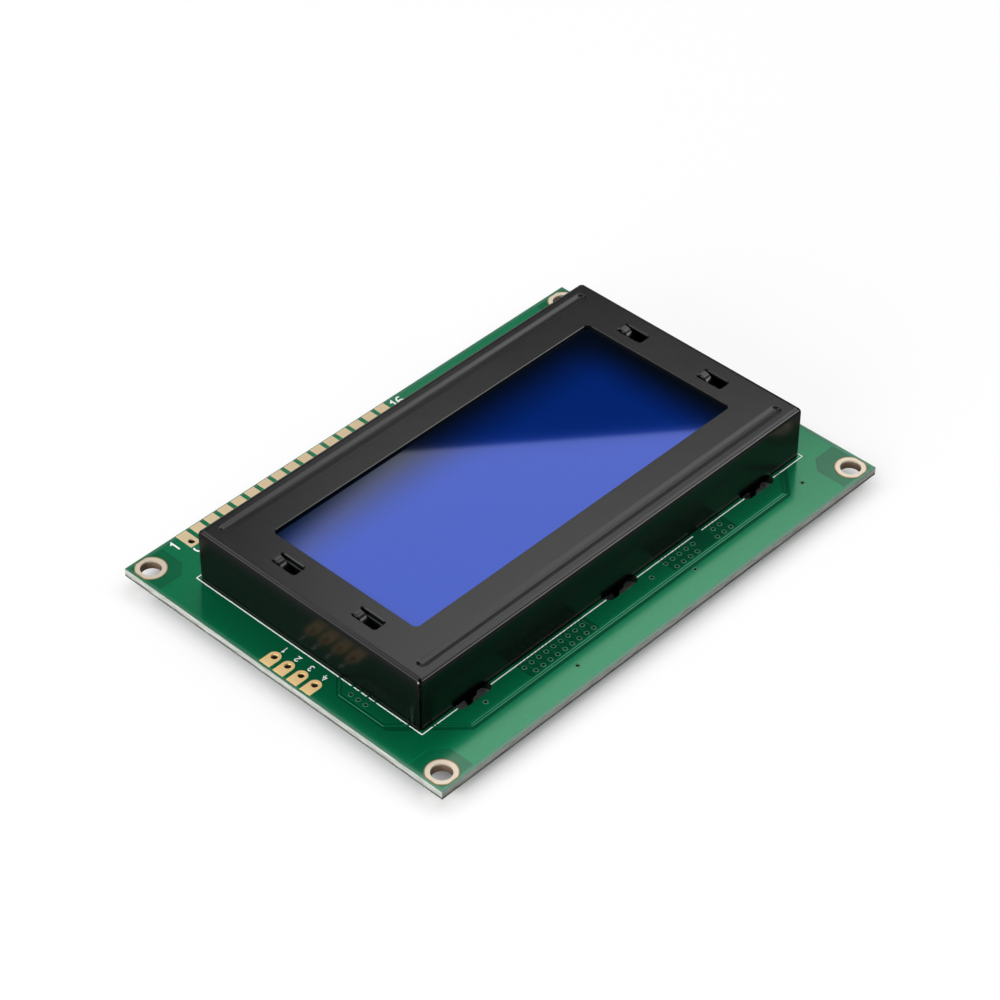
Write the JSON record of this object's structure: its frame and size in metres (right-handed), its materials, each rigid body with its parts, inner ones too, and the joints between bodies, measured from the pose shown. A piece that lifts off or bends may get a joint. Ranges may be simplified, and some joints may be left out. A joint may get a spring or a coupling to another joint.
{
  "type": "character lcd module",
  "caption": "Blue character display in a folded black steel bezel on a green circuit board, with plated header holes and corner mounting holes.",
  "frame": {"origin": "under the centre of the circuit board, on the plane where the bezel's six twisted tabs stand", "axes": "+X along the board with header hole 1 at -X, +Y towards the header edge, +Z out through the display"},
  "size_m": [0.087, 0.06, 0.012],
  "materials": {
    "solder_mask": "gloss green solder mask over glass-fibre laminate",
    "plated_land": "thin matt gold over copper",
    "black_steel": "satin black coating on thin steel sheet",
    "polariser_film": "blue film with a semi-gloss face",
    "cell_glass": "thin float glass",
    "cell_seal": "printed epoxy",
    "port_resin": "cured resin",
    "connector_rubber": "layered silicone rubber",
    "tray_white": "white moulded plastic",
    "film_white": "white film",
    "guide_clear": "clear polished acrylic",
    "lamp_board": "white-masked laminate",
    "lamp_body": "white package with a yellow lens",
    "tinned_lead": "tinned wire",
    "solder": "bright solder",
    "drop_resin": "black epoxy drop, semi-gloss",
    "silicon": "bare silicon",
    "resistor_body": "black glass on ceramic, tinned ends",
    "capacitor_body": "brown ceramic, tinned ends"
  },
  "bodies": {
    "root": {"circuit_board": "solder_mask", "mount_land_1": "plated_land", "mount_land_2": "plated_land", "mount_land_3": "plated_land", "mount_land_4": "plated_land", "header_land_1": "plated_land", "header_land_2": "plated_land", "header_land_3": "plated_land", "header_land_4": "plated_land", "header_land_5": "plated_land", "header_land_6": "plated_land", "header_land_7": "plated_land", "header_land_8": "plated_land", "header_land_9": "plated_land", "header_land_10": "plated_land", "header_land_11": "plated_land", "header_land_12": "plated_land", "header_land_13": "plated_land", "header_land_14": "plated_land", "header_land_15": "plated_land", "header_land_16": "plated_land", "serial_land_1": "plated_land", "serial_land_2": "plated_land", "serial_land_3": "plated_land", "serial_land_4": "plated_land", "bezel": "black_steel", "front_polariser": "polariser_film", "front_glass": "cell_glass", "cell_seal": "cell_seal", "rear_glass": "cell_glass", "rear_polariser": "polariser_film", "fill_port_plug": "port_resin", "connector_strip_1": "connector_rubber", "connector_strip_2": "connector_rubber", "backlight_housing": "tray_white", "reflector_film": "film_white", "light_guide": "guide_clear", "diffuser_film": "film_white", "lamp_board": "lamp_board", "lamp_1": "lamp_body", "lamp_2": "lamp_body", "lamp_3": "lamp_body", "lamp_lead_1": "tinned_lead", "lead_solder_1": "solder", "lamp_lead_2": "tinned_lead", "lead_solder_2": "solder", "controller_blob": "drop_resin", "controller_die": "silicon", "driver_1_blob": "drop_resin", "driver_1_die": "silicon", "driver_2_blob": "drop_resin", "driver_2_die": "silicon", "resistor_1": "resistor_body", "resistor_2": "resistor_body", "resistor_3": "resistor_body", "resistor_4": "resistor_body", "resistor_5": "resistor_body", "resistor_6": "resistor_body", "capacitor": "capacitor_body"}
  },
  "joints": []
}
